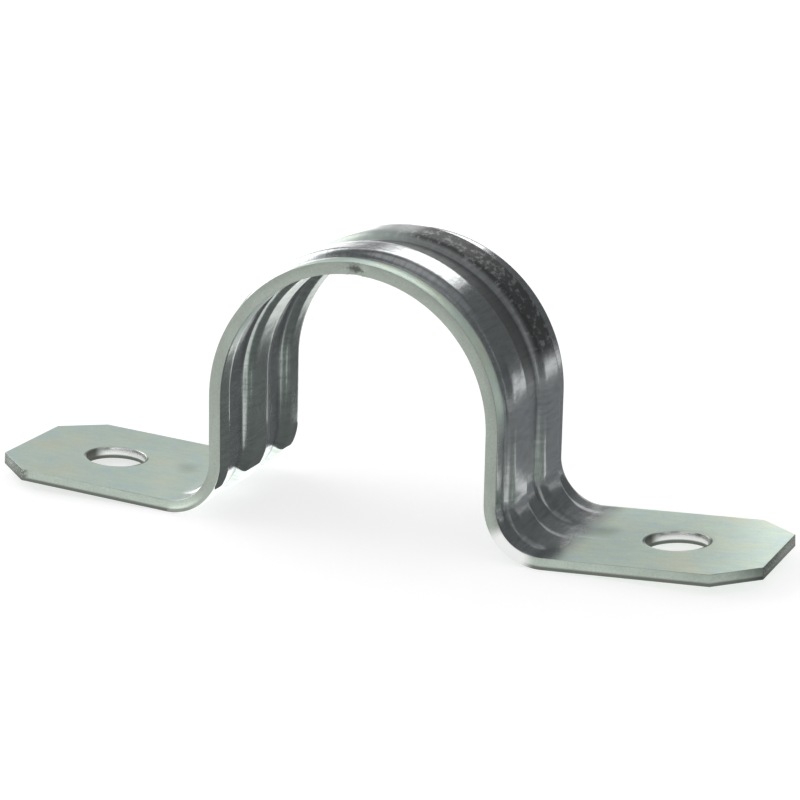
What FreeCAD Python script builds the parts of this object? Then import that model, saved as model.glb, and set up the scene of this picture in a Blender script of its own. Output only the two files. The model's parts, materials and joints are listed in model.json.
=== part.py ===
import FreeCAD, Part
import math
import os

from FreeCAD import Placement, Rotation, Vector

# Two-hole strap for one-inch steel conduit, stamped and bent from one strip of sheet steel.
# Frame, in millimetres: the origin lies midway between the two heels, on the plane that they rest on.
# +X runs along the strap from hole to hole, +Y across the strip, and +Z up through the crown of the arch.

# The arch, and the strip that it is bent from.
conduit_diameter = 29.54        # outside diameter of the conduit that the arch lies round
conduit_axis_height = 13.2      # under half the conduit's diameter, so the strap grips as it is screwed down
sheet_thickness = 1.3
strip_width = 19.2
heel_inside_radius = 4.8        # bend between leg and foot, on its hollow side
edge_break = 0.3                # rounding that blanking leaves along the edges of the outer face

# The feet.
overall_length = 86.0           # over the two foot ends
foot_rise_angle = 3.15          # degrees that each foot slopes up to its outer end before it is fastened
hole_spacing = 64.6
hole_diameter = 6.6
hole_lip = 0.35                 # rounding that the punch leaves round the top of each hole
corner_clip_length = 4.35       # cut off each foot corner, along the strap
corner_clip_width = 3.85        # cut off each foot corner, across the strip

# The pressed ribs: two lobes stand out from the strip, with a groove between them.
lobe_height = 0.8
margin_width = 2.0              # flat border along each edge of the strip
groove_floor_width = 3.0
rib_corner_radius = 0.25        # tightest radius of the pressed steps, on the hollow side of the sheet
wide_corner_facets = 3          # that round each pressed step on the full side of the sheet

# Where the ribs run out, measured along the strip.
lobe_fade_start = 1.0           # past the top of the bend, where the lobes start to sink into the sheet
lobe_run_out = 1.6              # past the end of the bend, where they have gone
dimple_depth = 0.16             # the groove ends in a shallow dimple in the foot
dimple_centre = 3.0             # past the end of the bend
dimple_run_out = 5.6            # past the end of the bend
edge_bulge = 0.12               # bending squeezes the strip's edges out on the hollow side of the bend
station_pitch = 0.9             # spacing of the sections that shape the bend

# Worked out from the sizes above.
half_sheet = sheet_thickness / 2
half_width = strip_width / 2
arch_middle_radius = conduit_diameter / 2 + half_sheet
bend_middle_radius = heel_inside_radius + half_sheet
bend_centre = Vector(arch_middle_radius + bend_middle_radius, 0, heel_inside_radius + sheet_thickness)
bend_length = bend_middle_radius * math.radians(90 + foot_rise_angle)
shaped_leg = 2 * station_pitch  # length of straight leg that the shaped bend starts with
step_radius = rib_corner_radius + half_sheet
step_turn = math.acos(1 - lobe_height / (2 * step_radius))
step_width = 2 * step_radius * math.sin(step_turn)


def ease(start, end, value):
    """Run smoothly from 0 at the start to 1 at the end."""
    share = min(max((value - start) / (end - start), 0), 1)
    return share * share * (3 - 2 * share)


class Station:
    """A place along the strip: a point in the middle of the sheet, and the way its outer face looks."""

    def __init__(self, point, outward):
        self.point = point
        self.outward = outward

    def place(self, across, level):
        return self.point + Vector(0, across, 0) + self.outward * level


def bend_station(distance):
    """The station at a distance along the strip from the top of the right-hand bend."""
    if distance <= 0:
        return Station(Vector(arch_middle_radius, 0, bend_centre.z - distance), Vector(1, 0, 0))
    turned = min(distance, bend_length) / bend_middle_radius
    outward = Vector(math.cos(turned), 0, math.sin(turned))
    onward = Vector(math.sin(turned), 0, -math.cos(turned))
    beyond = max(distance - bend_length, 0)
    return Station(bend_centre - outward * bend_middle_radius + onward * beyond, outward)


def step_points(side):
    """One face of a pressed step, from its foot to its head, as (across, rise) points.

    side is the face's distance from the middle of the sheet. The sheet turns up through one corner and back
    through another. On each face one of the two is wide and is rounded by facets, and the other is tight.
    """
    foot_radius = step_radius - side
    head_radius = step_radius + side

    def on_foot(angle):
        return foot_radius * math.sin(angle), foot_radius * (1 - math.cos(angle))

    def on_head(angle):
        return step_width - head_radius * math.sin(angle), lobe_height - head_radius * (1 - math.cos(angle))

    angles = [step_turn * index / wide_corner_facets for index in range(wide_corner_facets + 1)]
    if foot_radius > head_radius:
        return [on_foot(angle) for angle in angles] + [on_head(0)]
    return [on_foot(0)] + [on_head(angle) for angle in reversed(angles)]


def half_face(side, edge):
    """One face of the ribbed strip from its middle out to its edge, as (across, rise) points."""
    steps = step_points(side)
    up = [(groove_floor_width / 2 + across, rise) for across, rise in steps]
    down = [(half_width - margin_width - across, rise) for across, rise in reversed(steps)]
    return up + down + [(edge, 0)]


def section(station, lobe_share=1, sunk=0, bulge=0):
    """The closed section of the strip: flat margins, two raised lobes, and the groove between them.

    lobe_share scales the lobes, sunk lowers the groove's floor, and bulge tilts the strip's edges, which
    stand out by it on the outer face and draw in by it on the inner one.
    """
    def levelled(points, side):
        floor = groove_floor_width / 2 + 1e-6
        return [(y, side + rise * lobe_share - (sunk if y < floor else 0)) for y, rise in points]

    inner = levelled(half_face(-half_sheet, half_width - bulge), -half_sheet)
    outer = levelled(half_face(half_sheet, half_width + bulge - edge_break), half_sheet)
    shoulder = (half_width + bulge, half_sheet - edge_break)
    half = inner + [shoulder] + outer[::-1]
    loop = half + [(-across, level) for across, level in reversed(half)]
    return Part.makePolygon([station.place(*point) for point in loop + loop[:1]])


def arch_and_leg():
    """The ribbed arch, turned about the conduit's axis, and the straight leg below its right-hand end."""
    springing = Station(Vector(arch_middle_radius, 0, conduit_axis_height), Vector(1, 0, 0))
    profile = Part.Face(section(springing))
    arch = profile.revolve(Vector(0, 0, conduit_axis_height), Vector(0, -1, 0), 180)
    leg = profile.extrude(Vector(0, 0, bend_centre.z + shaped_leg - conduit_axis_height))
    return arch, leg


def ribbed_bend():
    """The bend from leg to foot, where the lobes sink into the sheet and the groove ends in its dimple."""
    end = bend_length + dimple_run_out
    count = math.ceil((end + shaped_leg) / station_pitch)
    middle = bend_length / 2
    profiles = []
    for index in range(count + 1):
        distance = (end + shaped_leg) * index / count - shaped_leg
        beyond = distance - bend_length
        lobe_share = 1 - ease(lobe_fade_start, bend_length + lobe_run_out, distance)
        sunk = dimple_depth * ease(0, dimple_centre, beyond) * ease(dimple_run_out, dimple_centre, beyond)
        bulge = edge_bulge * ease(0, middle, distance) * ease(bend_length, middle, distance)
        profiles.append(section(bend_station(distance), lobe_share, sunk, bulge))
    return Part.makeLoft(profiles, True)


def foot():
    """The flat foot: clipped corners, a punched screw hole, and the blanked edges of its top face."""
    start = bend_station(bend_length + dimple_run_out)
    slope = math.radians(foot_rise_angle)
    length = (overall_length / 2 - start.point.x) / math.cos(slope) - half_sheet * math.tan(slope)
    hole_reach = (hole_spacing / 2 - start.point.x) / math.cos(slope)
    clip_start = length - corner_clip_length
    clip_end = half_width - corner_clip_width
    near_side = [(0, -half_width), (clip_start, -half_width), (length, -clip_end)]
    outline = near_side + [(along, -across) for along, across in reversed(near_side)]
    corners = [Vector(along, across, -half_sheet) for along, across in outline + outline[:1]]
    plate = Part.Face(Part.makePolygon(corners)).extrude(Vector(0, 0, sheet_thickness))
    blanked = [edge for edge in top_edges(plate) if edge.BoundBox.XMax > Part.Precision.confusion()]
    plate = plate.makeChamfer(edge_break, blanked)
    bore = Part.makeCylinder(hole_diameter / 2, 2 * sheet_thickness, Vector(hole_reach, 0, -sheet_thickness))
    plate = plate.cut(bore)
    rim = [edge for edge in top_edges(plate) if isinstance(edge.Curve, Part.Circle)]
    plate = plate.makeChamfer(hole_lip, rim)
    plate.Placement = Placement(start.point, Rotation(Vector(0, -1, 0), foot_rise_angle))
    return plate


def top_edges(plate):
    return [edge for edge in plate.Edges if edge.BoundBox.ZMin > half_sheet - 1e-4]


def strap():
    """The whole strap as one solid: the arch, and on each side a leg, a bend and a foot."""
    arch, leg = arch_and_leg()
    right_side = [leg, ribbed_bend(), foot()]
    left_side = [piece.mirror(Vector(0, 0, 0), Vector(1, 0, 0)) for piece in right_side]
    return arch.multiFuse(right_side + left_side).removeSplitter().Solids[0]


os.makedirs("parts", exist_ok=True)
body = strap()
body.exportStep("parts/strap.step")
box = body.optimalBoundingBox(False, False)
print("valid:", body.isValid(), " volume, mm3:", round(body.Volume, 1))
print("size, mm:", round(box.XLength, 2), round(box.YLength, 2), round(box.ZLength, 2), " lowest:", round(box.ZMin, 4))
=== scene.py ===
import json
import math

import bmesh
import bpy
from bpy.props import FloatProperty, FloatVectorProperty, PointerProperty
from mathutils import Matrix, Vector


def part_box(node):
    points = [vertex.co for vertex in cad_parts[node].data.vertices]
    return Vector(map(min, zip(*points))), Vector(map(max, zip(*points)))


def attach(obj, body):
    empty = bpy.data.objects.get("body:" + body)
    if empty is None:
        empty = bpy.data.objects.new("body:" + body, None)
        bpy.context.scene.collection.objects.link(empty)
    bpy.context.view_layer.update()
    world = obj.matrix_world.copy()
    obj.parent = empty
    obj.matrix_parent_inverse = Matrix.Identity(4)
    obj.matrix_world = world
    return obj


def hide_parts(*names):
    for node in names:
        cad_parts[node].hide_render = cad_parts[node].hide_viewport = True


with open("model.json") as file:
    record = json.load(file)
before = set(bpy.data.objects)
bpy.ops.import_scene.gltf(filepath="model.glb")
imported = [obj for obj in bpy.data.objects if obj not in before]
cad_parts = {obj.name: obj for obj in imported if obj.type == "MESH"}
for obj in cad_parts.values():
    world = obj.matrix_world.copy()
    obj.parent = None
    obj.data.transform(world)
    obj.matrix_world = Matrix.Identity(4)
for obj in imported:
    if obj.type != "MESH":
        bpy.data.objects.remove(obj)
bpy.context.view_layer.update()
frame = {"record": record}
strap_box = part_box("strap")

bl_info = {
    "name": "Conduit strap",
    "version": (1, 0, 0),
    "blender": (4, 5, 0),
    "location": "3D View > Sidebar > Strap",
    "description": "Presses and bends a two-hole conduit strap from zinc-plated strip, on a pale floor",
    "category": "Object",
}

MM = 0.001
MOUNTS = {mount["name"]: mount for mount in frame["record"]["mounts"]}
SEAT = MOUNTS["conduit_seat"]
HOLE = MOUNTS["screw_hole_right"]
MERGE_DISTANCE = 1e-6
FLOOR_REACH = 20            # metres from the strap to each side of the floor

# What counts as a rim or a wall where the strip was cut. The angles are in radians.
RIM_ANGLE = 1.2             # between two faces, over which the edge between them is a rim
WALL_TILT = math.acos(0.7)  # between a face and the sheet's faces, over which it is part of a wall
EDGE_BAND = 0.6 * MM        # in from the strip's edges, where the walls are

# Where the ribs run out, along the strip: first from the top of the bend, and then from its end.
LOBE_FADE_START = 1.0 * MM
LOBE_RUN_OUT = 1.6 * MM
DIMPLE_CENTRE = 3.0 * MM
DIMPLE_RUN_OUT = 5.6 * MM
GROOVE_FLAT, GROOVE_EDGE = 0.42, 0.62   # from its middle, as shares of the groove's width

# The nick in the front edge, at the crown.
NICK_PLACE = 0.3 * MM       # along the strip
NICK_DEPTH = 0.2 * MM
NICK_FLOOR = 0.2 * MM       # half its length where it is deepest
NICK_REACH = 1.15 * MM      # half its length at the edge

# How finely the strip is divided: along each stretch of it, round the screw hole, and across its flats.
ARCH_STEPS = 80
LEG_STEPS = 10
BEND_STEPS = 48
RUN_OUT_STEPS = 14
HOLE_STEPS = 96
CORNER_STEPS = 8
FLAT_PITCH = 0.5 * MM


def length(name, description, default):
    return FloatProperty(name=name, description=description, default=default, unit="LENGTH", precision=5)


def colour(name, description, default):
    return FloatVectorProperty(
        name=name, description=description, default=default, subtype="COLOR", min=0, max=1
    )


def amount(name, description, default, unit="NONE"):
    return FloatProperty(name=name, description=description, default=default, unit=unit)


def angle(name, description, degrees):
    return amount(name, description, math.radians(degrees), unit="ROTATION")


class StrapSizes(bpy.types.PropertyGroup):
    """Sizes of the strap, in metres. +X runs along it, +Y across the strip and +Z up through the crown."""

    conduit_radius: length("Conduit radius", "Half the conduit's outside diameter", SEAT["dims"]["r_mm"] * MM)
    conduit_height: length("Conduit height", "Of the conduit's axis above the heels", SEAT["pos_m"][2])
    strip_width: length("Strip width", "Across the sheet, edge to edge", SEAT["dims"]["length_mm"] * MM)
    overall_length: length("Overall length", "Over the two foot ends", strap_box[1].x - strap_box[0].x)
    hole_spacing: length("Hole spacing", "Between the screw holes, in the middle of the sheet", 64.6 * MM)
    hole_radius: length("Hole radius", "Of each punched screw hole", HOLE["dims"]["r_mm"] * MM)
    sheet: length("Sheet thickness", "Of the steel", 1.3 * MM)
    heel_radius: length("Heel radius", "Inside the bend between leg and foot", 4.8 * MM)
    foot_rise: angle(
        "Foot rise",
        "How far each foot slopes up to its outer end before it is fastened",
        math.degrees(math.atan2(abs(HOLE["axis"][0]), HOLE["axis"][2])),
    )
    clip_length: length("Clip length", "Cut off each foot corner, along the strap", 4.35 * MM)
    clip_width: length("Clip width", "Cut off each foot corner, across the strip", 3.85 * MM)
    lobe_height: length("Lobe height", "How far the two lobes stand out from the strip", 0.8 * MM)
    margin_width: length("Margin width", "Flat border along each edge", 2.0 * MM)
    groove_width: length("Groove width", "Flat floor of the groove between the lobes", 3.0 * MM)
    rib_corner: length("Rib corner", "Tightest radius of the pressed steps", 0.25 * MM)
    dimple_depth: length("Dimple depth", "Of the hollow where the groove ends in the foot", 0.16 * MM)
    edge_break: length("Edge break", "Rounding that blanking leaves on the outer face", 0.3 * MM)
    inner_break: length("Inner edge break", "Sharpness taken off the edges of the inner face", 0.07 * MM)
    hole_lip: length("Hole lip", "Rounding that the punch leaves round each hole", 0.35 * MM)
    edge_bulge: length("Edge bulge", "How far bending squeezes the edges out", 0.12 * MM)


class ZincFinish(bpy.types.PropertyGroup):
    """Colours of the zinc plate."""

    satin: colour("Satin", "Flat, unworked zinc", (0.68, 0.80, 0.69))
    blue_tint: colour("Blue tint", "Bluish patches of the passivation", (0.64, 0.77, 0.72))
    straw_tint: colour("Straw tint", "Yellow patches of the passivation", (0.73, 0.79, 0.65))
    burnished: colour("Burnished", "Where the dies pressed the ribs", (0.52, 0.54, 0.54))
    smeared: colour("Smeared", "Darker marks that the dies left across the ribs", (0.40, 0.42, 0.42))
    # Near black: painted shade on the stamped far lobe, which is also made rougher, and in the groove's floor
    # on the arch.
    scuffed_and_shaded: colour("Scuffed", "Where a stamp has dulled the far lobe", (0.11, 0.11, 0.11))
    # Also painted highlight on the cut edges of the right bend.
    sheared_band_and_highlight: colour("Sheared", "Bright band that the punch leaves in the holes", (0.86, 0.87, 0.86))
    cut_edge: colour("Cut edge", "Sheared steel under a thin plate", (0.35, 0.39, 0.35))
    # Colour of the darkened cut walls, low on the feet and at their ends. It is painted shadow along the holes'
    # lower rims, and painted shade at the holes' ends and in the nick.
    dark_wall_and_shade: colour("Torn edge", "Lower part of a cut, where the steel broke off", (0.12, 0.125, 0.11))


class StudioSettings(bpy.types.PropertyGroup):
    """The camera, the lamps, the floor and the cards."""

    azimuth: angle("Azimuth", "Camera's turn round the strap", 22.934)
    elevation: angle("Elevation", "Camera's height above the horizon", 15.764)
    roll: angle("Roll", "Camera's tilt", 1.19)
    distance: length("Distance", "From the camera to the point that it looks at", 299.82 * MM)
    target: FloatVectorProperty(
        name="Target",
        description="The point that the camera looks at",
        default=(1.401 * MM, 0, 12.738 * MM),
        subtype="TRANSLATION",
        unit="LENGTH",
        precision=5,
    )
    lens: amount("Focal length", "Of the lens, in millimetres", 129.27)
    sensor: amount("Sensor width", "Of the camera, in millimetres", 36)
    floor: colour("Floor", "Pale paper", (0.47, 0.47, 0.47))
    floor_glow: amount("Floor glow", "White that the paper adds to its own", 0.64)
    tent_light: amount("Tent light", "Brightness of the white tent all round", 0.7)
    softbox_power: amount("Softbox power", "Of the lamp on the left", 2.85, unit="POWER")
    strip_power: amount("Strip power", "Of the narrow lamp behind", 0.35, unit="POWER")
    dark_card: colour("Dark card", "Darkest cards that the steel mirrors", (0.13, 0.135, 0.14))
    mid_card: colour("Mid card", "Cards on the floor, and overhead on the right", (0.24, 0.25, 0.26))
    grey_card: colour("Grey card", "Card overhead", (0.46, 0.46, 0.46))
    bounce: amount("Bounce", "Brightness of the small white cards", 1.9)


class Strip:
    """Where the sheet's middle runs: over the crown, down the right leg, round the bend and along the foot."""

    def __init__(self, sizes):
        self.half_sheet = sizes.sheet / 2
        self.half_width = sizes.strip_width / 2
        self.arch_centre = Vector((0, 0, sizes.conduit_height))
        self.arch_radius = sizes.conduit_radius + self.half_sheet
        self.bend_radius = sizes.heel_radius + self.half_sheet
        self.bend_centre = Vector((self.arch_radius + self.bend_radius, 0, sizes.heel_radius + sizes.sheet))
        self.bend_turn = math.pi / 2 + sizes.foot_rise
        self.bend_length = self.bend_radius * self.bend_turn
        self.leg_length = sizes.conduit_height - self.bend_centre.z
        self.crown_to_bend = self.arch_radius * math.pi / 2 + self.leg_length
        self.foot_way = Vector((math.cos(sizes.foot_rise), 0, math.sin(sizes.foot_rise)))
        self.foot_up = Vector((-math.sin(sizes.foot_rise), 0, math.cos(sizes.foot_rise)))
        self.foot_start = self.bend_centre - self.foot_up * self.bend_radius

    def foot_reach(self, x):
        """Distance from the end of the bend, along the foot, to a place at x in the middle of the sheet."""
        return (x - self.foot_start.x) / self.foot_way.x

    def flatten(self, place):
        """A place on the strap, and the way out of its outer face.

        The place is given as (along from the crown, across, level over the middle of the sheet).
        """
        side = -1 if place.x < 0 else 1
        x, z = abs(place.x), place.z
        if z >= self.arch_centre.z and x < self.bend_centre.x:
            reach = Vector((x, z - self.arch_centre.z))
            along = self.arch_radius * math.atan2(reach.x, reach.y)
            level = reach.length - self.arch_radius
            out = Vector((side * reach.x, 0, reach.y)).normalized()
        elif z >= self.bend_centre.z and x < self.bend_centre.x:
            along = self.crown_to_bend - (z - self.bend_centre.z)
            level = x - self.arch_radius
            out = Vector((side, 0, 0))
        else:
            reach = Vector((self.bend_centre.x - x, self.bend_centre.z - z))
            turned = math.atan2(reach.y, reach.x)
            beyond = (Vector((x, 0, z)) - self.foot_start).dot(self.foot_way)
            if turned < self.bend_turn and beyond < 0:
                along = self.crown_to_bend + self.bend_radius * turned
                level = self.bend_radius - reach.length
                out = Vector((side * math.cos(turned), 0, math.sin(turned)))
            else:
                along = self.crown_to_bend + self.bend_length + beyond
                level = (Vector((x, 0, z)) - self.foot_start).dot(self.foot_up)
                out = Vector((side * self.foot_up.x, 0, self.foot_up.z))
        return Vector((side * along, place.y, level)), out


def ease(start, end, value):
    """Run smoothly from 0 at the start to 1 at the end."""
    share = min(max((value - start) / (end - start), 0), 1)
    return share * share * (3 - 2 * share)


def draw_section(bm, sizes, strip):
    """Draw the middle of the sheet across the strip, where the arch meets the right leg.

    The line is straight along the margins, the tops of the lobes and the groove's floor, and rounded between.
    """
    step_radius = sizes.rib_corner + strip.half_sheet
    turn = math.acos(1 - sizes.lobe_height / (2 * step_radius))
    step_width = 2 * step_radius * math.sin(turn)
    tangent = step_radius * math.tan(turn / 2)
    groove = sizes.groove_width / 2
    margin = strip.half_width - sizes.margin_width
    half = [
        (groove + tangent, 0),
        (groove + step_width - tangent, sizes.lobe_height),
        (margin - step_width + tangent, sizes.lobe_height),
        (margin - tangent, 0),
        (strip.half_width, 0),
    ]
    line = [(-across, level) for across, level in reversed(half)] + half
    verts = [bm.verts.new((strip.arch_radius + level, across, sizes.conduit_height)) for across, level in line]
    for first, second in zip(verts, verts[1:]):
        bm.edges.new((first, second))
    bmesh.ops.bevel(
        bm,
        geom=verts[1:-1],
        affect="VERTICES",
        offset=tangent * 0.999,
        segments=CORNER_STEPS,
        profile=0.5,
        material=-1,
    )
    bmesh.ops.remove_doubles(bm, verts=bm.verts, dist=tangent * 0.01)
    for edge in [edge for edge in bm.edges if edge.calc_length() > 1.6 * FLAT_PITCH]:
        bmesh.ops.subdivide_edges(bm, edges=[edge], cuts=int(edge.calc_length() / FLAT_PITCH))


def sweep(bm, line, steps, turn=0, centre=(0, 0, 0), advance=(0, 0, 0)):
    """Carry the section's line on, round an axis across the strip or straight ahead, and give its new place."""
    swept = bmesh.ops.spin(
        bm, geom=line, cent=centre, axis=(0, 1, 0), angle=turn, dvec=Vector(advance) / steps, steps=steps
    )
    return swept["geom_last"]


def only(kind, parts):
    """The vertices, or the edges, among the parts that an operator gives."""
    return [part for part in parts if isinstance(part, kind)]


def lay_foot(bm, sizes, strip, line):
    """Lay the flat foot on from the last line across the strip: clipped corners, and a round hole."""

    def on_foot(reach, across):
        return strip.foot_start + strip.foot_way * reach + Vector((0, across, 0))

    end = strip.foot_reach(sizes.overall_length / 2) - strip.half_sheet * math.tan(sizes.foot_rise)
    side = [(end - sizes.clip_length, strip.half_width), (end, strip.half_width - sizes.clip_width)]
    outline = side + [(reach, -across) for reach, across in reversed(side)]
    row = sorted(only(bmesh.types.BMVert, line), key=lambda vert: vert.co.y)
    chain = [row[-1]] + [bm.verts.new(on_foot(*corner)) for corner in outline] + [row[0]]
    rims = only(bmesh.types.BMEdge, line)
    rims += [bm.edges.new(pair) for pair in zip(chain, chain[1:])]

    hole = on_foot(strip.foot_reach(sizes.hole_spacing / 2), 0)
    place = Matrix.Translation(hole) @ Matrix.Rotation(-sizes.foot_rise, 4, "Y")
    ring = bmesh.ops.create_circle(
        bm, cap_ends=False, radius=sizes.hole_radius, segments=HOLE_STEPS, matrix=place
    )
    round_rim = [edge for edge in bm.edges if edge.verts[0] in ring["verts"]]
    collar = bmesh.ops.extrude_edge_only(bm, edges=round_rim)["geom"]
    wide = (sizes.hole_radius + 2 * sizes.hole_lip) / sizes.hole_radius
    widened = only(bmesh.types.BMVert, collar)
    bmesh.ops.scale(bm, vec=(wide, wide, 1), space=place.inverted(), verts=widened)
    rims += [edge for edge in only(bmesh.types.BMEdge, collar) if all(vert in widened for vert in edge.verts)]
    bmesh.ops.triangle_fill(bm, use_beauty=True, use_dissolve=False, edges=rims, normal=strip.foot_up)


def press_run_out(bm, sizes, strip):
    """Sink the lobes into the sheet round the bend, and end the groove in a dimple in the foot."""
    for vert in bm.verts:
        flat, out = strip.flatten(vert.co)
        distance = flat.x - strip.crown_to_bend
        if distance <= 0:
            continue
        beyond = distance - strip.bend_length
        share = 1 - ease(LOBE_FADE_START, strip.bend_length + LOBE_RUN_OUT, distance)
        level = flat.z * share
        off_middle = abs(flat.y) / sizes.groove_width
        groove = 1 - ease(GROOVE_FLAT, GROOVE_EDGE, off_middle)
        dimple = ease(0, DIMPLE_CENTRE, beyond) * ease(DIMPLE_RUN_OUT, DIMPLE_CENTRE, beyond)
        level -= sizes.dimple_depth * groove * dimple
        vert.co += out * (level - flat.z)


def thicken(bm, sizes, strip):
    """Give the sheet its thickness, half to each side, and squeeze its edges out at the bends."""
    bm.normal_update()
    rise = bm.verts.layers.float_vector.new("rise")
    for vert in bm.verts:
        vert[rise] = vert.normal * vert.calc_shell_factor() * strip.half_sheet
    grown = bmesh.ops.extrude_face_region(bm, geom=bm.faces[:])
    outer = set(only(bmesh.types.BMVert, grown["geom"]))
    middle = strip.bend_length / 2
    for vert in bm.verts:
        vert.co += vert[rise] if vert in outer else -vert[rise]
        if abs(vert.co.y) > strip.half_width - 0.01 * MM:
            flat, _ = strip.flatten(vert.co)
            distance = abs(flat.x) - strip.crown_to_bend
            squeeze = ease(0, middle, distance) * ease(strip.bend_length, middle, distance) * sizes.edge_bulge
            vert.co.y += math.copysign(squeeze if vert in outer else -squeeze, vert.co.y)
    bm.verts.layers.float_vector.remove(rise)
    bmesh.ops.recalc_face_normals(bm, faces=bm.faces)
    return outer


def nick_edge(bm, strip, outer):
    """Nick the front edge of the strip at the crown, deepest at its inner corner."""
    for vert in bm.verts:
        flat, _ = strip.flatten(vert.co)
        if vert not in outer and flat.y < NICK_DEPTH - strip.half_width:
            vert.co.y += NICK_DEPTH * ease(NICK_REACH, NICK_FLOOR, abs(flat.x - NICK_PLACE))


def round_rims(bm, sizes, outer):
    """Round the blanked edges of the outer face, and take the sharpness off the inner ones."""
    rims = [edge for edge in bm.edges if len(edge.link_faces) == 2 and edge.calc_face_angle() > RIM_ANGLE]
    outer_rims = [edge for edge in rims if all(vert in outer for vert in edge.verts)]
    inner_rims = [edge for edge in rims if not any(vert in outer for vert in edge.verts)]
    for edges, width, steps in ((inner_rims, sizes.inner_break, 2), (outer_rims, sizes.edge_break, 5)):
        bmesh.ops.bevel(
            bm, geom=edges, affect="EDGES", offset=width, segments=steps, profile=0.5, material=-1
        )


def note_surface(bm, strip):
    """Write each point's place on the flat strip, in millimetres, and mark the cut walls, for the finish."""
    place = bm.verts.layers.float_vector.new("strip")
    wall = bm.faces.layers.float.new("cut")
    for vert in bm.verts:
        flat, _ = strip.flatten(vert.co)
        vert[place] = flat / MM
    for face in bm.faces:
        centre = face.calc_center_median()
        flat, out = strip.flatten(centre)
        on_foot = abs(flat.x) > strip.crown_to_bend + strip.bend_length
        on_edge = abs(centre.y) > strip.half_width - EDGE_BAND
        steep = abs(face.normal.dot(out)) < math.cos(WALL_TILT)
        face[wall] = 1.0 if steep and (on_foot or on_edge) else 0.0


def build_strap_mesh(sizes, strip):
    """The whole strap: its right half swept from one section, mirrored, thickened and rounded."""
    bm = bmesh.new()
    draw_section(bm, sizes, strip)
    springing = bm.verts[:] + bm.edges[:]
    sweep(bm, springing, ARCH_STEPS, turn=-math.pi / 2, centre=strip.arch_centre)
    line = sweep(bm, springing, LEG_STEPS, advance=(0, 0, -strip.leg_length))
    line = sweep(bm, line, BEND_STEPS, turn=-strip.bend_turn, centre=strip.bend_centre)
    line = sweep(bm, line, RUN_OUT_STEPS, advance=strip.foot_way * DIMPLE_RUN_OUT)
    press_run_out(bm, sizes, strip)
    lay_foot(bm, sizes, strip, line)
    bmesh.ops.remove_doubles(bm, verts=bm.verts, dist=MERGE_DISTANCE)
    bmesh.ops.mirror(
        bm, geom=bm.verts[:] + bm.edges[:] + bm.faces[:], merge_dist=MERGE_DISTANCE, axis="X"
    )
    bmesh.ops.recalc_face_normals(bm, faces=bm.faces)
    crown = max(bm.faces, key=lambda face: face.calc_center_median().z)
    if crown.normal.z < 0:
        bmesh.ops.reverse_faces(bm, faces=bm.faces)
    outer = thicken(bm, sizes, strip)
    nick_edge(bm, strip, outer)
    round_rims(bm, sizes, outer)
    bmesh.ops.recalc_face_normals(bm, faces=bm.faces)
    note_surface(bm, strip)
    for face in bm.faces:
        face.smooth = True
    return to_mesh(bm, "zinc_strap")


def to_mesh(bm, name):
    """Write a bmesh out as a new mesh, and free it."""
    mesh = bpy.data.meshes.new(name)
    bm.to_mesh(mesh)
    bm.free()
    return mesh


def add_object(name, data):
    thing = bpy.data.objects.new(name, data)
    bpy.context.scene.collection.objects.link(thing)
    return thing


class Signal:
    """A shader socket that sums can be written on: each sum adds its Math node."""

    def __init__(self, shop, socket):
        self.shop = shop
        self.socket = socket

    def _math(self, operation, first, second=None):
        inputs = {0: first} if second is None else {0: first, 1: second}
        return self.shop.node("ShaderNodeMath", {"operation": operation}, inputs).out()

    def __add__(self, other):
        return self._math("ADD", self, other)

    __radd__ = __add__

    def __sub__(self, other):
        return self._math("SUBTRACT", self, other)

    def __rsub__(self, other):
        return self._math("SUBTRACT", other, self)

    def __mul__(self, other):
        return self._math("MULTIPLY", self, other)

    __rmul__ = __mul__

    def size(self):
        return self._math("ABSOLUTE", self)

    def highest(self, other):
        return self._math("MAXIMUM", self, other)

    def rise(self, start, end):
        """0 up to start, 1 from end on, and smooth between. start may be the higher of the two."""
        settings = {"interpolation_type": "SMOOTHSTEP"}
        ends = {"Value": self, "From Min": start, "From Max": end, "To Min": 0, "To Max": 1}
        return self.shop.node("ShaderNodeMapRange", settings, ends).out("Result")

    def within(self, start, full, last, end):
        """1 from full to last, 0 before start and after end, and smooth between."""
        return self.rise(start, full) * self.rise(end, last)


class Node:
    def __init__(self, shop, made):
        self.shop = shop
        self.made = made

    def out(self, name=0):
        return Signal(self.shop, self.made.outputs[name])


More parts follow.
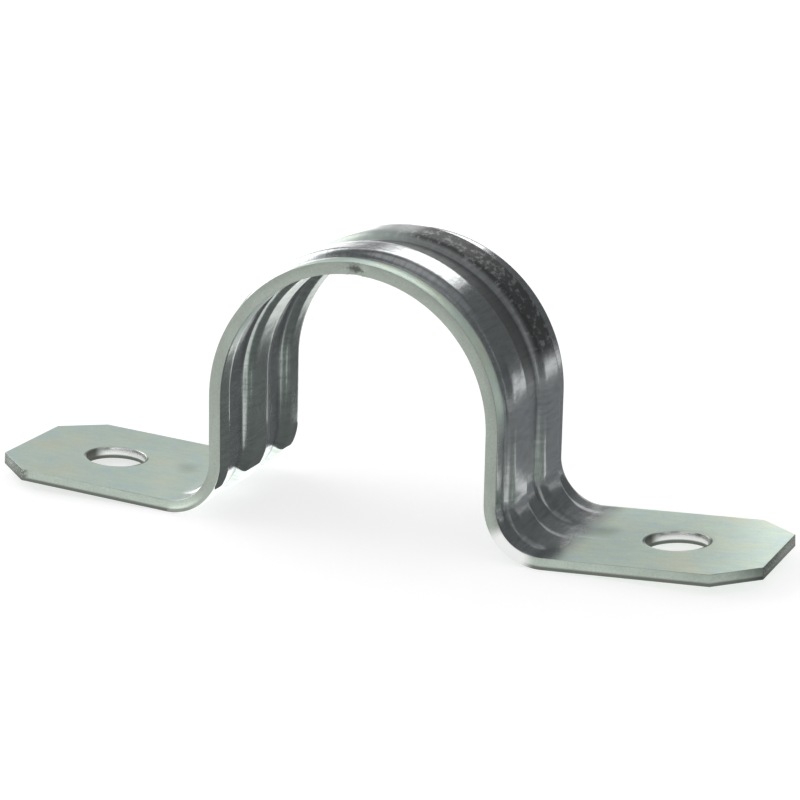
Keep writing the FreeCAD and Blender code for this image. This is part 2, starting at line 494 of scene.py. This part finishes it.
class Shop:
    """Adds nodes to one node tree."""

    def __init__(self, tree):
        self.tree = tree

    def node(self, kind, settings=None, inputs=None):
        """Add a node: its settings first, then the values and links of its sockets."""
        made = self.tree.nodes.new(kind)
        for name, value in (settings or {}).items():
            setattr(made, name, value)
        self.feed(made, inputs or {})
        return Node(self, made)

    def feed(self, node, inputs):
        """Give a node's sockets their values and links."""
        for name, value in inputs.items():
            socket = node.inputs[name]
            if isinstance(value, Signal):
                self.tree.links.new(value.socket, socket)
            else:
                socket.default_value = value

    def blend(self, share, first, second):
        """Mix two colours."""
        inputs = {"Factor": share, 6: first, 7: second}
        return self.node("ShaderNodeMix", {"data_type": "RGBA"}, inputs).out(2)

    def tint(self, colour, by):
        """Multiply a colour by another."""
        settings = {"data_type": "RGBA", "blend_type": "MULTIPLY"}
        return self.node("ShaderNodeMix", settings, {"Factor": 1.0, 6: colour, 7: by}).out(2)

    def grey(self, share):
        """A number as a colour."""
        return self.node("ShaderNodeCombineColor", None, {0: share, 1: share, 2: share}).out()

    def bundle(self, first, second):
        """Two numbers as the X and Y of a vector."""
        return self.node("ShaderNodeCombineXYZ", None, {0: first, 1: second}).out()

    def stretch(self, place, factors):
        return self.node("ShaderNodeVectorMath", {"operation": "MULTIPLY"}, {0: place, 1: factors}).out()

    def distance(self, place, other):
        return self.node("ShaderNodeVectorMath", {"operation": "DISTANCE"}, {0: place, 1: other}).out("Value")

    def noise(self, place, scale, detail, roughness=0.55):
        inputs = {"Vector": place, "Scale": scale, "Detail": detail, "Roughness": roughness}
        return self.node("ShaderNodeTexNoise", None, inputs).out("Fac")

    def attribute(self, name, output):
        return self.node("ShaderNodeAttribute", {"attribute_name": name}).out(output)


def opaque(rgb):
    return (*rgb, 1)


class FlatStrip:
    """Where a point lies on the flat strip, in millimetres, for the finish.

    run goes along the strip from the crown and is negative on the left, and side goes across it and is negative
    at the front. along and across are the same without their sign. level is positive on the outer face.
    """

    def __init__(self, shop, hole_along, hole_radius):
        self.point = shop.attribute("strip", "Vector")
        self.cut = shop.attribute("cut", "Fac")
        parts = shop.node("ShaderNodeSeparateXYZ", None, {0: self.point})
        self.run, self.side, self.level = parts.out(0), parts.out(1), parts.out(2)
        self.along, self.across = self.run.size(), self.side.size()
        self.folded = shop.bundle(self.along, self.side)
        from_hole = shop.distance(self.folded, (hole_along, 0, 0))
        self.in_hole = from_hole.rise(hole_radius + 0.32, hole_radius + 0.18)
        self.on_feet = self.along.rise(34, 38)


class Textures:
    """The zinc's patterns: patches of tint, grain, specks, the dies' smears, and streaks along the strip."""

    def __init__(self, shop, point):
        self.patches = shop.noise(point, scale=0.5, detail=3)
        self.straw = shop.noise(point, scale=0.16, detail=2).rise(0.44, 0.72)
        self.grain = shop.noise(shop.stretch(point, (0.7, 4, 4)), scale=2.2, detail=4)
        self.specks = shop.noise(point, scale=5.5, detail=3, roughness=0.65)
        self.smears = shop.noise(shop.stretch(point, (1.6, 0.22, 0.22)), scale=1.6, detail=4, roughness=0.6)
        self.streaks = shop.noise(shop.stretch(point, (0.3, 1.3, 1)), scale=1.1, detail=4, roughness=0.6)
        scratches = shop.noise(shop.stretch(point, (1.5, 0.8, 1)), scale=1.1, detail=4, roughness=0.65)
        self.scratches = scratches.rise(0.50, 0.66)
        self.waves = shop.noise(shop.stretch(point, (0.8, 1, 1)), scale=0.42, detail=2)


# In the masks below, a rise on the strip goes from 0 at its first number to 1 at its second, both places on the
# flat strip in millimetres. A rise on a texture does so between two of the texture's values, from 0 to 1.


def pressed_ribs(strip, textures):
    """1 where the dies pressed and burnished the ribs, and 0 where the zinc is still satin."""
    outer_face = strip.level.rise(0, 0.2)
    ragged = (textures.patches - 0.5) * 1.6
    shorter_on_left = 3.2 * strip.run.rise(5, -5) * outer_face
    ribs = (strip.along + ragged + shorter_on_left).rise(43.2, 39.8)
    front_margin = strip.side.rise(-7.4, -7.9) * strip.along.rise(27, 20)
    both_faces = strip.level.rise(-0.3, 0.1).highest(strip.along.rise(20, 14))
    pale_step = strip.side.within(0.8, 1.8, 3.2, 4.4) * strip.run.rise(5, -2) * outer_face
    return ribs * (1 - front_margin * both_faces) * (1 - 0.65 * pale_step)


def satin_zinc(shop, finish, strip, textures, wear_and_dimple_shade):
    """Unworked zinc, with patches of blue and of straw, and painted shade that dims its left half."""
    painted_left_shade = (0.68, 0.69, 0.70, 1)
    satin = shop.blend(textures.patches.rise(0.38, 0.66), opaque(finish.satin), opaque(finish.blue_tint))
    satin = shop.blend(textures.straw, satin, opaque(finish.straw_tint))
    satin = shop.tint(satin, shop.grey(wear_and_dimple_shade))
    # Painted shade: the satin on the left half of the strap is tinted darker.
    return shop.blend(strip.run.rise(-5, 5), shop.tint(satin, painted_left_shade), satin)


def burnished_zinc(shop, finish, strip, textures):
    """Zinc under the dies, smeared across the ribs, and a little greener on the inner face."""
    inner_tint = (0.98, 1.06, 0.98, 1)
    smeared = textures.smears.rise(0.35, 0.75)
    burnished = shop.blend(smeared, opaque(finish.burnished), opaque(finish.smeared))
    return shop.blend(strip.level.rise(0.1, -0.1), burnished, shop.tint(burnished, inner_tint))


def scuffed_and_shaded_lobe(strip):
    """How much the stamp has dulled the far lobe, and how far painted shade darkens it: half in a band at the
    crown, and wholly to the right of it.
    """
    band, whole = strip.run.rise(-5, -2), strip.run.rise(0.2, 2.2)
    return (0.5 * band + 0.5 * whole) * strip.run.rise(20.4, 18.4) * strip.side.within(1.5, 2.5, 6.4, 7.6)


def dark_and_shaded_walls(strip, textures):
    """1 where a cut wall is darkened: low on the walls of the feet, which along the holes' lower rims is
    painted shadow; on the right foot's end wall and the left foot's end and clipped corners, with light specks;
    and in the nick, where it is painted shade.
    """
    lower_walls = strip.level.rise(-0.12, -0.38) * strip.on_feet
    end_wall = strip.along.rise(60.3, 60.9) * strip.across.rise(5.85, 5.70)
    left_clips = strip.run.rise(-56.6, -57.4)
    dark_ends = end_wall.highest(left_clips) * (0.95 - textures.specks.rise(0.52, 0.60) * 0.8)
    off = strip.run - NICK_PLACE / MM
    wedge = off.size() * 0.75 + (strip.level + 0.12 * off + 0.05).size() * 1.9
    # Painted shade: a ragged wedge of the nick's dent is darkened.
    nick = (wedge + (textures.specks - 0.5) * 1.6).rise(1.1, 0.4) * strip.side.rise(-9, -9.4)
    return lower_walls.highest(dark_ends).highest(nick)


def cut_walls(shop, finish, strip, textures, wear_and_dimple_shade):
    """Sheared steel under a thin plate, paler on the feet, darker low on the feet's walls and at their ends,
    with painted shadow along the holes' lower rims and painted shade in the nick.
    """
    walls = shop.blend(strip.on_feet * 0.3, opaque(finish.cut_edge), opaque(finish.satin))
    walls = shop.tint(walls, shop.grey(wear_and_dimple_shade * 1.8 - 0.8))
    return shop.blend(dark_and_shaded_walls(strip, textures) * 0.85, walls, opaque(finish.dark_wall_and_shade))


def zinc_plate(finish, hole_along, hole_radius):
    """Zinc plate: satin where the strip is flat, burnished where the dies pressed it, dull on the cut edges."""
    material = bpy.data.materials.new("zinc_plate")
    material.use_nodes = True
    shop = Shop(material.node_tree)
    strip = FlatStrip(shop, hole_along, hole_radius)
    textures = Textures(shop, strip.point)
    across, cut = strip.across, strip.cut

    pressed = pressed_ribs(strip, textures)
    # Painted shade: the zinc is darkened round each dimple where the groove ends in a foot. The streaks and
    # specks are wear.
    dimple_end = (43.2, 1.2, 0)
    dimple_shade = shop.distance(strip.folded, dimple_end).rise(2.4, 0.2)
    wear_and_dimple_shade = (0.80 + 0.22 * textures.streaks + 0.30 * textures.specks) * (1 - 0.2 * dimple_shade)
    satin = satin_zinc(shop, finish, strip, textures, wear_and_dimple_shade)
    base = shop.blend(pressed, satin, burnished_zinc(shop, finish, strip, textures))
    scuffed_and_shaded = scuffed_and_shaded_lobe(strip)
    # Painted shade: the far lobe is darkened towards near black, lighter along the scratches. Its roughness
    # rises too.
    base = shop.blend(scuffed_and_shaded * (0.95 - textures.scratches * 0.6), base, opaque(finish.scuffed_and_shaded))
    # Painted shade: the groove's floor on the arch's outer face is darkened towards the near-black colour, and
    # made rougher.
    dull_and_shaded_groove = across.rise(2.0, 1.4) * strip.run.within(-4, -1, 18, 24) * strip.level.rise(-0.1, 0.3)
    base = shop.blend(dull_and_shaded_groove * 0.7, base, opaque(finish.scuffed_and_shaded))

    base = shop.blend(cut, base, cut_walls(shop, finish, strip, textures, wear_and_dimple_shade))
    # Painted shade: the two ends of each hole, along the strip, are darkened.
    base = shop.blend(strip.in_hole * across.rise(2.5, 1.0) * 0.9, base, opaque(finish.dark_wall_and_shade))
    punched = strip.in_hole * strip.level.rise(-0.30, -0.15) * across.rise(0.8, 2.4)
    # Painted highlight: the cut edges of the right bend get the bright colour of the punched band, and less
    # roughness.
    painted_bend_highlight = strip.run.within(33.5, 35, 38, 39.5)
    sheared_band_and_highlight = cut * punched.highest(painted_bend_highlight)
    base = shop.blend(sheared_band_and_highlight, base, opaque(finish.sheared_band_and_highlight))

    satin_rough = 0.38 + 0.14 * textures.grain
    burnished_rough = 0.14 + 0.10 * textures.grain + 0.06 * textures.smears
    rough = satin_rough * (1 - pressed) + pressed * burnished_rough + 0.34 * scuffed_and_shaded.highest(dull_and_shaded_groove)
    rough = rough * (1 - cut) + 0.5 * cut - 0.25 * sheared_band_and_highlight
    metal = 1 - (1 - pressed) * (1 - cut) * 0.35
    height = textures.grain * 0.05 + textures.specks * 0.03 + textures.smears * 0.12 + textures.waves
    relief = {"Height": height, "Strength": 0.5, "Distance": 0.1 * MM}
    bump = shop.node("ShaderNodeBump", None, relief).out()
    shop.feed(
        material.node_tree.nodes["Principled BSDF"],
        {"Base Color": base, "Roughness": rough, "Metallic": metal, "Normal": bump},
    )
    return material


class CONDUIT_OT_build_strap(bpy.types.Operator):
    """Press and bend the strap from zinc-plated strip"""

    bl_idname = "conduit.build_strap"
    bl_label = "Build strap"

    def execute(self, context):
        scene = context.scene
        sizes = scene.strap_sizes
        strip = Strip(sizes)
        piece = add_object("zinc_strap", build_strap_mesh(sizes, strip))
        hole_along = strip.crown_to_bend + strip.bend_length + strip.foot_reach(sizes.hole_spacing / 2)
        piece.data.materials.append(zinc_plate(scene.zinc_finish, hole_along / MM, sizes.hole_radius / MM))
        weighted = piece.modifiers.new("Flat faces keep their normals", "WEIGHTED_NORMAL")
        weighted.keep_sharp = False
        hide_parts("strap")
        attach(piece, "root")
        return {"FINISHED"}


def sheet(name, low, high, face):
    """A rectangle between opposite corners: level, or upright across the view where both have the same Y."""
    low, high = Vector(low), Vector(high)
    bm = bmesh.new()
    bmesh.ops.create_grid(bm, x_segments=1, y_segments=1, size=0.5)
    if low.y == high.y:
        bmesh.ops.rotate(bm, matrix=Matrix.Rotation(math.pi / 2, 3, "X"), verts=bm.verts)
    bmesh.ops.scale(bm, vec=high - low, verts=bm.verts)
    bmesh.ops.translate(bm, vec=(low + high) / 2, verts=bm.verts)
    made = add_object(name, to_mesh(bm, name))
    made.data.materials.append(face)
    return made


def where_seen(shop):
    """1 where a surface or the world is looked at, also in a mirror, and 0 where it only gives light."""
    path = shop.node("ShaderNodeLightPath")
    seen = path.out("Is Camera Ray").highest(path.out("Is Glossy Ray"))
    return seen.highest(path.out("Is Transmission Ray"))


def paper(studio):
    """Pale paper that takes the strap's shadow, and looks white to the camera and in the steel."""
    material = bpy.data.materials.new("paper")
    material.use_nodes = True
    shop = Shop(material.node_tree)
    nodes = material.node_tree.nodes
    shader = nodes["Principled BSDF"]
    shop.feed(shader, {"Base Color": opaque(studio.floor), "Roughness": 1, "Specular IOR Level": 0})
    strength = where_seen(shop) * studio.floor_glow
    glow = shop.node("ShaderNodeEmission", None, {"Color": (1, 1, 1, 1), "Strength": strength})
    both = shop.node("ShaderNodeAddShader", None, {0: Node(shop, shader).out(), 1: glow.out()})
    shop.feed(nodes["Material Output"], {0: both.out()})
    return material


def card_face(name, shade, strength=1):
    """A face that glows evenly in one shade."""
    material = bpy.data.materials.new(name)
    material.use_nodes = True
    shop = Shop(material.node_tree)
    glow = shop.node("ShaderNodeEmission", None, {"Color": opaque(shade), "Strength": strength})
    shop.feed(material.node_tree.nodes["Material Output"], {0: glow.out()})
    return material


def set_card(card):
    """Show a card to the steel alone, as its reflection, and keep it off the part."""
    for sense in ("camera", "diffuse", "shadow", "transmission", "volume_scatter"):
        setattr(card, "visible_" + sense, False)


def curved_card(name, low, high, start, end, face):
    """A card bent round the strap, from one compass angle to another. low and high are (radius, height)."""
    bm = bmesh.new()
    verts = [bm.verts.new((0, radius, height)) for radius, height in (low, high)]
    edge = bm.edges.new(verts)
    bmesh.ops.rotate(bm, matrix=Matrix.Rotation(-math.radians(start), 3, "Z"), verts=verts)
    bmesh.ops.spin(
        bm,
        geom=verts + [edge],
        cent=(0, 0, 0),
        axis=(0, 0, -1),
        angle=math.radians(end - start),
        steps=48,
        use_merge=end - start == 360,
    )
    card = add_object(name, to_mesh(bm, name))
    card.data.materials.append(face)
    return card


def set_cards(studio):
    """Stand the white tent and the grey and white cards round the strap, for its pressed ribs to mirror."""
    dark = card_face("dark_card", studio.dark_card)
    mid = card_face("mid_card", studio.mid_card)
    grey = card_face("grey_card", studio.grey_card)
    white = card_face("white_card", (1, 1, 1), studio.bounce)
    tent = card_face("tent", (1, 1, 1), studio.tent_light)

    # Bent cards: (radius, height) of both edges in metres, and compass angles in degrees from +Y towards +X.
    for name, low, high, start, end, face in (
        ("tent_wall", (2.5, 0), (2.5, 2.0), 0, 360, tent),
        ("tent_roof", (2.5, 2.0), (0.001, 2.6), 0, 360, tent),
        ("wall_right", (0.80, 0), (0.85, 1.05), 6, 113, dark),
        ("shade_step", (0.075, 0), (0.075, 0.10), 116, 145, dark),
        ("wall_back", (0.70, 0.13), (0.70, 0.285), -36, -18, dark),
        ("ceiling_left", (0.60, 0.65), (0.24, 0.60), -160, -10, dark),
        ("ceiling_right", (0.54, 0.60), (0.24, 0.60), -10, 200, mid),
        ("ceiling", (0.001, 0.6), (0.24, 0.60), 0, 360, grey),
    ):
        set_card(curved_card(name, low, high, start, end, face))

    # Straight cards: opposite corners in millimetres. The last two stand, and the others lie on the floor.
    for name, low, high, face in (
        ("floor_right", (-8, 18, 0.2), (300, 135, 0.2), mid),
        ("floor_left", (-8, 18, 0.4), (13, 135, 0.4), dark),
        ("floor_side", (46, -120, 0.2), (300, 18, 0.2), mid),
        ("floor_front", (22, -120, 0.2), (46, -20, 0.2), mid),
        ("floor_between", (-15.6, -9, 3.0), (14, 18, 3.0), dark),
        ("bounce_between", (-21, -12, 0.1), (2, 30, 0.1), white),
        ("bounce_crown", (-34, 18, 20), (-3, 18, 33.2), white),
        ("shade_bend", (5, 40, 14), (27, 40, 44), dark),
    ):
        set_card(sheet(name, Vector(low) * MM, Vector(high) * MM, face))


def way_out(compass, height):
    """The way from the strap to a place at a compass angle, from +Y towards +X, and a height, in radians."""
    return Vector(
        (math.sin(compass) * math.cos(height), math.cos(compass) * math.cos(height), math.sin(height))
    )


def look_back(thing, out, distance, target=(0, 0, 0), roll=0):
    """Put a lamp or the camera out from its target, so that it looks back at it."""
    facing = out.to_track_quat("Z", "Y").to_matrix() @ Matrix.Rotation(roll, 3, "Z")
    thing.matrix_world = Matrix.Translation(Vector(target) + out * distance) @ facing.to_4x4()


def hang_lamp(name, compass, height, distance, size, power):
    """Hang a soft lamp that looks at the strap. Its angles are in degrees."""
    lamp = bpy.data.lights.new(name, "AREA")
    lamp.energy = power
    lamp.shape = "RECTANGLE"
    lamp.size, lamp.size_y = size
    holder = add_object(name, lamp)
    look_back(holder, way_out(math.radians(compass), math.radians(height)), distance)
    holder.visible_camera = False


def place_camera(studio):
    camera = add_object("camera", bpy.data.cameras.new("camera"))
    camera.data.lens = studio.lens
    camera.data.sensor_width = studio.sensor
    camera.data.clip_start = 0.01
    out = way_out(math.pi - studio.azimuth, studio.elevation)
    look_back(camera, out, studio.distance, studio.target, studio.roll)
    return camera


def white_world(studio):
    """A world that looks white, and lights the strap as the tent does."""
    world = bpy.data.worlds.new("studio")
    world.use_nodes = True
    shop = Shop(world.node_tree)
    strength = studio.tent_light + where_seen(shop) * (1 - studio.tent_light)
    shop.feed(world.node_tree.nodes["Background"], {"Color": (1, 1, 1, 1), "Strength": strength})
    return world


class CONDUIT_OT_set_stage(bpy.types.Operator):
    """Lay the floor, hang the lamps and place the camera"""

    bl_idname = "conduit.set_stage"
    bl_label = "Set stage"

    def execute(self, context):
        scene = context.scene
        studio = scene.strap_studio
        level = strap_box[0].z - 0.01 * MM
        corner = Vector((FLOOR_REACH, FLOOR_REACH, level))
        floor = sheet("floor", (-FLOOR_REACH, -FLOOR_REACH, level), corner, paper(studio))
        set_cards(studio)
        hang_lamp("softbox", -75, 27, distance=0.8, size=(0.85, 0.56), power=studio.softbox_power)
        hang_lamp("strip_light", -8, 26.3, distance=0.8, size=(0.36, 0.13), power=studio.strip_power)
        scene.world = white_world(studio)
        scene.camera = place_camera(studio)
        scene.view_settings.view_transform = "Standard"
        return {"FINISHED"}


class CONDUIT_PT_strap(bpy.types.Panel):
    """Sizes and steps of the conduit strap"""

    bl_idname = "CONDUIT_PT_strap"
    bl_label = "Conduit strap"
    bl_space_type = "VIEW_3D"
    bl_region_type = "UI"
    bl_category = "Strap"

    def draw(self, context):
        for group in (context.scene.strap_sizes, context.scene.zinc_finish, context.scene.strap_studio):
            for name in group.__annotations__:
                self.layout.prop(group, name)
        self.layout.operator(CONDUIT_OT_build_strap.bl_idname)
        self.layout.operator(CONDUIT_OT_set_stage.bl_idname)


CLASSES = (
    StrapSizes,
    ZincFinish,
    StudioSettings,
    CONDUIT_OT_build_strap,
    CONDUIT_OT_set_stage,
    CONDUIT_PT_strap,
)


def register():
    for cls in CLASSES:
        bpy.utils.register_class(cls)
    bpy.types.Scene.strap_sizes = PointerProperty(type=StrapSizes)
    bpy.types.Scene.zinc_finish = PointerProperty(type=ZincFinish)
    bpy.types.Scene.strap_studio = PointerProperty(type=StudioSettings)


def unregister():
    for name in ("strap_sizes", "zinc_finish", "strap_studio"):
        delattr(bpy.types.Scene, name)
    for cls in reversed(CLASSES):
        bpy.utils.unregister_class(cls)


def main():
    register()
    bpy.ops.conduit.build_strap()
    bpy.ops.conduit.set_stage()


if __name__ == "__main__":
    main()
